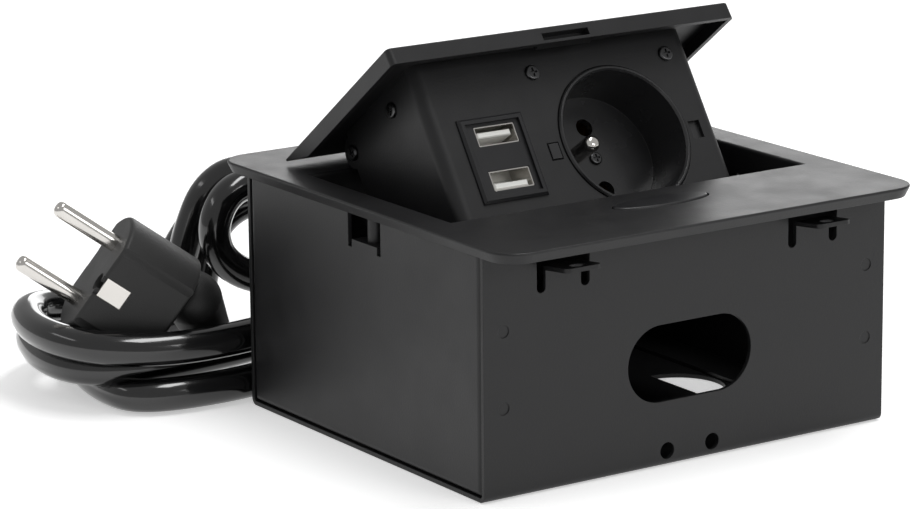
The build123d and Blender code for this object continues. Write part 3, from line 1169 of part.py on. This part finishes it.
save("plug_pins", *plug_pins())
save("plug_earth_clips", *plug_earth_clips())
save("plug_neck", plug_neck())
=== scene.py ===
"""Looks of the in-desk power module: camera, lead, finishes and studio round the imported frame.

The frame keeps its metres and its axes: X right, Y back, Z up, with z = 0 under the box.
"""

from __future__ import annotations

import json
import logging
import math
from dataclasses import dataclass, field
from enum import Enum

import bpy
from mathutils import Matrix, Vector

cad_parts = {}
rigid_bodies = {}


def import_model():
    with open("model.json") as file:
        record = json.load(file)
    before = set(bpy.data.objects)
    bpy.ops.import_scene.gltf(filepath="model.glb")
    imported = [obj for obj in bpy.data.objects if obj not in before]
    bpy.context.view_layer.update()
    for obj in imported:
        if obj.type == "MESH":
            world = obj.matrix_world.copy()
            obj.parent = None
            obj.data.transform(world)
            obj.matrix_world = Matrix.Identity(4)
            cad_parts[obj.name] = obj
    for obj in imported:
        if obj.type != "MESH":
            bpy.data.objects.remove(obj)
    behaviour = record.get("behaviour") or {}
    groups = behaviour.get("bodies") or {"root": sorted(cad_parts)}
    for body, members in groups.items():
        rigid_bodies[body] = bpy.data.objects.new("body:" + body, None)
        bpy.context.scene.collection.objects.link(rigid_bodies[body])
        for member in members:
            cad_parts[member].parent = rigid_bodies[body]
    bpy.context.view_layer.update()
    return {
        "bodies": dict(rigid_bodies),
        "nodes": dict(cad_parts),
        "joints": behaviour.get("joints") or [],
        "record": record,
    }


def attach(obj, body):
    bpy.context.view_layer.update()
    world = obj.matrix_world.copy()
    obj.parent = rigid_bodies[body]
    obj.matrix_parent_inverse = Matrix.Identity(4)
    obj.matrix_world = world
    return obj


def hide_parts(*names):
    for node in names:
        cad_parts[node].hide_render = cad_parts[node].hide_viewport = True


LOG = logging.getLogger("power_module")

Triple = tuple[float, float, float]

MM = 0.001

# Camera that sees the module as the photograph does
CAMERA_PLACE = Vector((-0.6150, -0.8648, 0.3095))
CAMERA_RIGHT = Vector((0.8290, -0.5592, -0.0093))
CAMERA_UP = Vector((0.1410, 0.1930, 0.9710))
CAMERA_LENS = 153.81
CAMERA_SENSOR = 36.0
CAMERA_SHIFT = (0.00264, -0.01152)
CAMERA_CLIP = (0.01, 20.0)

# Floor and room, in metres and levels of light
FLOOR_HALF = 6.0
FLOOR_HEIGHT = -0.0002
FLOOR_ROUGHNESS = 0.9
FLOOR_SPECULAR = 0.1
FLOOR_GLOW = 0.45
ROOM_LEVEL = 0.46
LAMP_AIM = Vector((0, 0, 0.06))

# Detail of the procedural surfaces
MOTTLE_DETAIL = 3.0
GRAIN_DETAIL = 2.0
MOTTLE_RANGE = (0.3, 0.7)
BEVEL_SAMPLES = 4

# Lead, in millimetres. The gland's stretch and the tail start out on the part's own routes.
CORD_DIAMETER = 9.6
CORD_FLOOR_GAP = 0.1
CORD_LOWEST = CORD_DIAMETER / 2 + CORD_FLOOR_GAP
CORD_RING_STEPS = 6
CORD_LENGTH_STEPS = 8
GLAND_ROUTE = [(38, 86.1, 14), (38, 103.1, 14), (31, 119, 9), (14, 128, 12), (-6, 127, 25)]
TAIL_ROUTE = [(-29, 103, 9), (-42, 101, 5.2)]

# Plug, as in the part: middle of its face, its axis, the line of its pins and its neck
PLUG_FACE = Vector((-98.6, 88.8, 37.2))
PLUG_AXIS = Vector((-0.7496, 0.3092, 0.5852)).normalized()
PLUG_PIN_LINE = Vector((-0.5078, 0.2984, -0.8082)).normalized()
NECK_DIRECTION = Vector((0.52, 0.4, -0.755)).normalized()
NECK_BACK = 28.0
NECK_RISE = 8.0
NECK_LENGTH = 18.0


class Body(str, Enum):
    """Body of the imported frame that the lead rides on."""

    BOX = "box"


class Slot(str, Enum):
    """Material slots of the record."""

    POWDER = "powder_black"
    PLASTIC = "black_plastic"
    GLOSS = "gloss_black"
    DARK_ZINC = "dark_zinc"
    ZINC = "zinc_steel"
    SPRING = "spring_steel"
    BRASS = "brass"
    NICKEL = "nickel"
    WHITE = "white_plastic"
    CORD = "cord_black"
    PLUG = "plug_moulding"


def linear_colour(code: str) -> tuple[float, float, float, float]:
    """Turns an sRGB hex code into linear colour.

    Args:
        code: Six hex digits, such as "2a2a2a".

    Returns:
        Linear red, green, blue and alpha.
    """
    parts = []
    for start in (0, 2, 4):
        value = int(code[start:start + 2], 16) / 255
        parts.append(value / 12.92 if value <= 0.04045 else ((value + 0.055) / 1.055) ** 2.4)
    return (*parts, 1.0)


@dataclass(frozen=True)
class Finish:
    """What a surface is made of. Sizes and depths are in millimetres."""

    name: str
    colour: str
    second_colour: str
    roughness: float
    metallic: float = 0.0
    specular: float = 0.5
    coat: float = 0.0
    coat_roughness: float = 0.1
    grain_size: float = 0.5
    grain_depth: float = 0.0
    mottle_size: float = 9.0
    roughness_swing: float = 0.06
    edge_round: float = 0.0


FINISHES = {
    Slot.POWDER: Finish("powder coat", "1a1a1b", "202021", 0.42, specular=0.36, grain_size=0.55,
                        grain_depth=0.035, edge_round=0.28),
    Slot.PLASTIC: Finish("black moulding", "161618", "1b1b1d", 0.38, specular=0.4, grain_size=0.35,
                         grain_depth=0.012, edge_round=0.2),
    Slot.GLOSS: Finish("socket moulding", "252526", "2a2a2b", 0.26, grain_size=0.5, grain_depth=0.004,
                       edge_round=0.2),
    Slot.DARK_ZINC: Finish("black zinc screw", "5a5a5a", "48484a", 0.3, metallic=1.0, grain_size=0.4,
                           grain_depth=0.01, edge_round=0.1),
    Slot.ZINC: Finish("bright zinc steel", "b4b4b4", "a2a3a6", 0.34, metallic=1.0, grain_size=0.8,
                      grain_depth=0.01, edge_round=0.1),
    Slot.SPRING: Finish("spring wire", "7a7a7c", "8a8a8c", 0.3, metallic=1.0),
    Slot.BRASS: Finish("brass sleeve", "a08448", "8c7038", 0.3, metallic=1.0),
    Slot.NICKEL: Finish("nickel plate", "dedbd6", "cfccc8", 0.16, metallic=1.0, edge_round=0.12),
    Slot.WHITE: Finish("white insulator", "e8e8e4", "dcdcd8", 0.38, edge_round=0.08),
    Slot.CORD: Finish("cord sheath", "0b0b0c", "0e0e0f", 0.16, specular=0.5, grain_size=0.8,
                      grain_depth=0.004, mottle_size=14.0, coat=0.6, coat_roughness=0.07),
    Slot.PLUG: Finish("plug moulding", "242424", "2c2c2c", 0.52, specular=0.4, grain_size=0.45,
                      grain_depth=0.07, edge_round=0.25),
}


@dataclass
class SurfaceTree:
    """One material's nodes, built up from its finish."""

    tree: bpy.types.NodeTree
    finish: Finish

    def build(self) -> None:
        """Makes a Principled shader with mottling, grain and softened edges."""
        self.tree.nodes.clear()
        output = self.tree.nodes.new("ShaderNodeOutputMaterial")
        shader = self.tree.nodes.new("ShaderNodeBsdfPrincipled")
        self.tree.links.new(shader.outputs["BSDF"], output.inputs["Surface"])
        shader.inputs["Metallic"].default_value = self.finish.metallic
        shader.inputs["Specular IOR Level"].default_value = self.finish.specular
        shader.inputs["Coat Weight"].default_value = self.finish.coat
        shader.inputs["Coat Roughness"].default_value = self.finish.coat_roughness
        place = self.tree.nodes.new("ShaderNodeTexCoord").outputs["Object"]
        self._mottle(shader, place)
        self._relief(shader, place)

    def _noise(self, place: bpy.types.NodeSocket, size: float, detail: float) -> bpy.types.NodeSocket:
        """Adds a noise pattern.

        Args:
            place: The coordinates that it lies in.
            size: Size of its spots in millimetres.
            detail: How fine its finest layer is.

        Returns:
            The pattern's level.
        """
        noise = self.tree.nodes.new("ShaderNodeTexNoise")
        noise.inputs["Scale"].default_value = 1 / (size * MM)
        noise.inputs["Detail"].default_value = detail
        self.tree.links.new(place, noise.inputs["Vector"])
        return noise.outputs["Fac"]

    def _mottle(self, shader: bpy.types.Node, place: bpy.types.NodeSocket) -> None:
        """Lets the colour and the roughness wander softly over the surface.

        Args:
            shader: The Principled shader.
            place: The coordinates of the pattern.
        """
        mottle = self._noise(place, self.finish.mottle_size, MOTTLE_DETAIL)
        mix = self.tree.nodes.new("ShaderNodeMix")
        mix.data_type = "RGBA"
        mix.inputs["A"].default_value = linear_colour(self.finish.colour)
        mix.inputs["B"].default_value = linear_colour(self.finish.second_colour)
        self.tree.links.new(mottle, mix.inputs["Factor"])
        self.tree.links.new(mix.outputs["Result"], shader.inputs["Base Color"])
        half_swing = self.finish.roughness_swing / 2
        swing = self.tree.nodes.new("ShaderNodeMapRange")
        swing.inputs["From Min"].default_value, swing.inputs["From Max"].default_value = MOTTLE_RANGE
        swing.inputs["To Min"].default_value = self.finish.roughness - half_swing
        swing.inputs["To Max"].default_value = self.finish.roughness + half_swing
        self.tree.links.new(mottle, swing.inputs["Value"])
        self.tree.links.new(swing.outputs["Result"], shader.inputs["Roughness"])

    def _relief(self, shader: bpy.types.Node, place: bpy.types.NodeSocket) -> None:
        """Softens the edges and raises the grain, where the finish has them.

        Args:
            shader: The Principled shader.
            place: The coordinates of the grain.
        """
        normal = None
        if self.finish.edge_round:
            bevel = self.tree.nodes.new("ShaderNodeBevel")
            bevel.samples = BEVEL_SAMPLES
            bevel.inputs["Radius"].default_value = self.finish.edge_round * MM
            normal = bevel.outputs["Normal"]
        if self.finish.grain_depth:
            bump = self.tree.nodes.new("ShaderNodeBump")
            bump.inputs["Strength"].default_value = 1.0
            bump.inputs["Distance"].default_value = self.finish.grain_depth * MM
            grain = self._noise(place, self.finish.grain_size, GRAIN_DETAIL)
            self.tree.links.new(grain, bump.inputs["Height"])
            if normal is not None:
                self.tree.links.new(normal, bump.inputs["Normal"])
            normal = bump.outputs["Normal"]
        if normal is not None:
            self.tree.links.new(normal, shader.inputs["Normal"])


@dataclass
class Workshop:
    """Makes the materials and hands them out by slot."""

    made: dict[Slot, bpy.types.Material] = field(default_factory=dict)

    def material(self, slot: Slot) -> bpy.types.Material:
        """Gives the material of a slot, and makes it the first time.

        Args:
            slot: The record's slot.

        Returns:
            The shared material.
        """
        if slot not in self.made:
            finish = FINISHES[slot]
            material = bpy.data.materials.new(finish.name)
            material.use_nodes = True
            SurfaceTree(material.node_tree, finish).build()
            self.made[slot] = material
        return self.made[slot]


@dataclass
class FrameNodes:
    """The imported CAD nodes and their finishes."""

    frame: dict
    workshop: Workshop

    def dress(self) -> None:
        """Gives every CAD node the material of its slot in the record."""
        for entry in self.frame["record"]["subparts"]:
            node = self.frame["nodes"][entry["node"]]
            node.data.materials.clear()
            node.data.materials.append(self.workshop.material(Slot(entry["material_slot"])))
            for polygon in node.data.polygons:
                polygon.material_index = 0


@dataclass(frozen=True)
class Turn:
    """How far one turn of the lead lies from the middle line of the coil, in millimetres."""

    near: Triple
    left: Triple
    far: Triple
    right: Triple

    def sides(self) -> tuple[Triple, Triple, Triple, Triple]:
        """Gives the offsets in the order in which the middle line passes them.

        Returns:
            The near, left, far and right offsets.
        """
        return self.near, self.left, self.far, self.right


@dataclass
class Lead:
    """The mains lead: out of the gland, round its loose turns, and to the plug's neck."""

    workshop: Workshop

    # Middle line of the coil, from the right end along the near side and round
    MIDDLE = [(-12, 92, 27), (-24, 77, 21), (-43, 68, 18), (-64, 64, 18), (-88, 65.5, 17.5),
              (-105.5, 72, 19), (-113, 84, 20), (-113.5, 100, 20.5), (-108, 115, 22), (-90, 123, 19),
              (-66, 127, 16), (-49, 128, 22), (-45, 127, 34), (-39, 124, 44), (-28, 121, 48), (-16, 110, 44)]
    NEAR_AT = 3
    BLEND_FROM = 0.75
    TURNS = [
        Turn(near=(0, -1, -13), left=(15, -6, -15.5), far=(8, 4, -14), right=(-5, 4, -9)),
        Turn(near=(-2, 10, -6.5), left=(4, 4, -9), far=(2, 12, -4), right=(9, -1, -1)),
        Turn(near=(0, 0, 0), left=(0, 0, 0), far=(0, 0, 0), right=(-6, 0, 5)),
    ]
    # Small turn behind the box, from the gland's side to the coil
    SMALL_TURN = [(-16, 119, 33), (-25, 113, 43), (-34, 111, 50), (-43, 110, 48), (-48, 110, 39),
                  (-46, 110, 29), (-37, 109, 22), (-25, 109, 20), (-11, 108, 18), (3, 106, 20),
                  (12, 102, 28), (12, 98, 39), (1, 100, 48)]
    # From the coil down to the tail, in place of the coil's last points
    END = [(-26, 70, 7), (-12, 75, 11), (-7, 88, 13), (-15, 99, 12)]
    END_REPLACES = 2

    def _point(self, turn: int, step: int) -> Vector:
        """Place of one control point of the coil.

        Args:
            turn: Which turn, from the plug's end.
            step: Which point of the middle line.

        Returns:
            The point in millimetres.
        """
        count = len(self.MIDDLE)
        angle = 2 * math.pi * (step - self.NEAR_AT) / count
        along = max(0.0, (step / count - self.BLEND_FROM) / (1 - self.BLEND_FROM))
        here = self.TURNS[turn]
        after = self.TURNS[min(turn + 1, len(self.TURNS) - 1)]
        place = Vector(self.MIDDLE[step])
        for index, (offset, next_offset) in enumerate(zip(here.sides(), after.sides())):
            weight = max(0.0, math.cos(angle - index * math.pi / 2)) ** 2
            place += weight * Vector(offset).lerp(Vector(next_offset), along)
        place.z = max(place.z, CORD_LOWEST)
        return place

    def _neck_points(self) -> list[Vector]:
        """Control points that lead up into the plug's neck.

        Returns:
            Where the neck's line meets the floor, and the neck's end, in millimetres.
        """
        neck_start = PLUG_FACE - PLUG_AXIS * NECK_BACK - PLUG_PIN_LINE * NECK_RISE
        neck_end = neck_start + NECK_DIRECTION * NECK_LENGTH
        run_down = (neck_end.z - CORD_LOWEST) / -NECK_DIRECTION.z
        return [neck_end + NECK_DIRECTION * run_down, neck_end]

    def route(self) -> list[Vector]:
        """Control points of the whole lead, in millimetres.

        Returns:
            The points from the gland to the neck.
        """
        coil = []
        for turn in range(len(self.TURNS)):
            for step in range(len(self.MIDDLE)):
                coil.append(self._point(turn, step))
        coil.reverse()
        points = [Vector(point) for point in GLAND_ROUTE + self.SMALL_TURN]
        points += coil[:-self.END_REPLACES]
        points += [Vector(point) for point in self.END + TAIL_ROUTE]
        return points + self._neck_points()

    def build(self, frame: dict) -> bpy.types.Object:
        """Args:
            frame: The loaded frame. Not used.

        Returns:
            The curve object.
        """
        points = self.route()
        curve = bpy.data.curves.new("lead", "CURVE")
        curve.dimensions = "3D"
        curve.bevel_depth = CORD_DIAMETER / 2 * MM
        curve.bevel_resolution = CORD_RING_STEPS
        curve.resolution_u = CORD_LENGTH_STEPS
        curve.use_fill_caps = True
        spline = curve.splines.new("NURBS")
        spline.points.add(len(points) - 1)
        for control, point in zip(spline.points, points):
            control.co = (*(point * MM), 1.0)
        spline.order_u = 3
        spline.use_endpoint_u = True
        lead = bpy.data.objects.new("lead", curve)
        bpy.context.scene.collection.objects.link(lead)
        curve.materials.append(self.workshop.material(Slot.CORD))
        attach(lead, Body.BOX.value)
        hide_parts("cord_lead", "cord_coil", "cord_tail")
        return lead


@dataclass(frozen=True)
class Lamp:
    """One soft rectangular lamp: its place and size in metres, and its power in watts."""

    name: str
    place: Triple
    size: tuple[float, float]
    power: float

    def hang(self) -> None:
        """Hangs the lamp so that it faces the module."""
        data = bpy.data.lights.new(self.name, "AREA")
        data.shape = "RECTANGLE"
        data.size, data.size_y = self.size
        data.energy = self.power
        lamp = bpy.data.objects.new(self.name, data)
        lamp.location = self.place
        lamp.rotation_mode = "QUATERNION"
        lamp.rotation_quaternion = (LAMP_AIM - Vector(self.place)).to_track_quat("-Z", "Y")
        bpy.context.scene.collection.objects.link(lamp)


@dataclass
class Studio:
    """Camera, floor, world and lights."""

    LAMPS = [
        Lamp("overhead softbox", (0.25, -0.25, 1.5), (1.0, 0.35), 10.0),
        Lamp("front softbox", (0.5, -1.5, 0.8), (0.7, 0.5), 4.8),
        Lamp("left strip", (-1.3, 0.5, 1.0), (0.9, 0.14), 1.0),
        Lamp("back right panel", (1.2, 1.35, 0.47), (1.1, 0.5), 5.0),
    ]

    def camera(self) -> None:
        """Places the camera that matches the photograph."""
        data = bpy.data.cameras.new("camera")
        data.sensor_width = CAMERA_SENSOR
        data.lens = CAMERA_LENS
        data.shift_x, data.shift_y = CAMERA_SHIFT
        data.clip_start, data.clip_end = CAMERA_CLIP
        camera = bpy.data.objects.new("camera", data)
        right = CAMERA_RIGHT.normalized()
        back = right.cross(CAMERA_UP).normalized()
        up = back.cross(right)
        turn = Matrix((right, up, back)).transposed()
        camera.matrix_world = Matrix.Translation(CAMERA_PLACE) @ turn.to_4x4()
        bpy.context.scene.collection.objects.link(camera)
        bpy.context.scene.camera = camera

    def _floor_paper(self) -> bpy.types.Material:
        """Makes the floor's paper, which glows for the camera and for mirrored and passing rays.

        Returns:
            The material.
        """
        material = bpy.data.materials.new("floor paper")
        material.use_nodes = True
        tree = material.node_tree
        shader = tree.nodes["Principled BSDF"]
        shader.inputs["Base Color"].default_value = linear_colour("f0f0f0")
        shader.inputs["Roughness"].default_value = FLOOR_ROUGHNESS
        shader.inputs["Specular IOR Level"].default_value = FLOOR_SPECULAR
        shader.inputs["Emission Color"].default_value = linear_colour("ffffff")
        rays = tree.nodes.new("ShaderNodeLightPath")
        seen = rays.outputs["Is Camera Ray"]
        for kind in ("Is Glossy Ray", "Is Transmission Ray"):
            either = tree.nodes.new("ShaderNodeMath")
            either.operation = "ADD"
            either.use_clamp = True
            tree.links.new(seen, either.inputs[0])
            tree.links.new(rays.outputs[kind], either.inputs[1])
            seen = either.outputs[0]
        level = tree.nodes.new("ShaderNodeMath")
        level.operation = "MULTIPLY"
        level.inputs[1].default_value = FLOOR_GLOW
        tree.links.new(seen, level.inputs[0])
        tree.links.new(level.outputs[0], shader.inputs["Emission Strength"])
        return material

    def floor(self) -> None:
        """Lays a wide white floor under the module."""
        mesh = bpy.data.meshes.new("floor")
        signs = ((-1, -1), (1, -1), (1, 1), (-1, 1))
        corners = [(x * FLOOR_HALF, y * FLOOR_HALF, FLOOR_HEIGHT) for x, y in signs]
        mesh.from_pydata(corners, [], [(0, 1, 2, 3)])
        floor = bpy.data.objects.new("floor", mesh)
        bpy.context.scene.collection.objects.link(floor)
        mesh.materials.append(self._floor_paper())

    def world(self) -> None:
        """Fills the room with even white light, and shows it as plain white."""
        world = bpy.data.worlds.new("studio")
        world.use_nodes = True
        tree = world.node_tree
        background = tree.nodes["Background"]
        background.inputs["Color"].default_value = linear_colour("ffffff")
        rays = tree.nodes.new("ShaderNodeLightPath")
        level = tree.nodes.new("ShaderNodeMath")
        level.operation = "MULTIPLY_ADD"
        level.inputs[1].default_value = 1 - ROOM_LEVEL
        level.inputs[2].default_value = ROOM_LEVEL
        tree.links.new(rays.outputs["Is Camera Ray"], level.inputs[0])
        tree.links.new(level.outputs[0], background.inputs["Strength"])
        bpy.context.scene.world = world

    def build(self) -> None:
        """Sets up the whole studio."""
        bpy.context.scene.view_settings.view_transform = "Standard"
        self.camera()
        self.floor()
        self.world()
        for lamp in self.LAMPS:
            lamp.hang()


def main() -> None:
    """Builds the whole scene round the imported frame."""
    logging.basicConfig(level=logging.INFO)
    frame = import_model()
    Studio().build()
    workshop = Workshop()
    Lead(workshop).build(frame)
    FrameNodes(frame, workshop).dress()


if __name__ == "__main__":
    main()
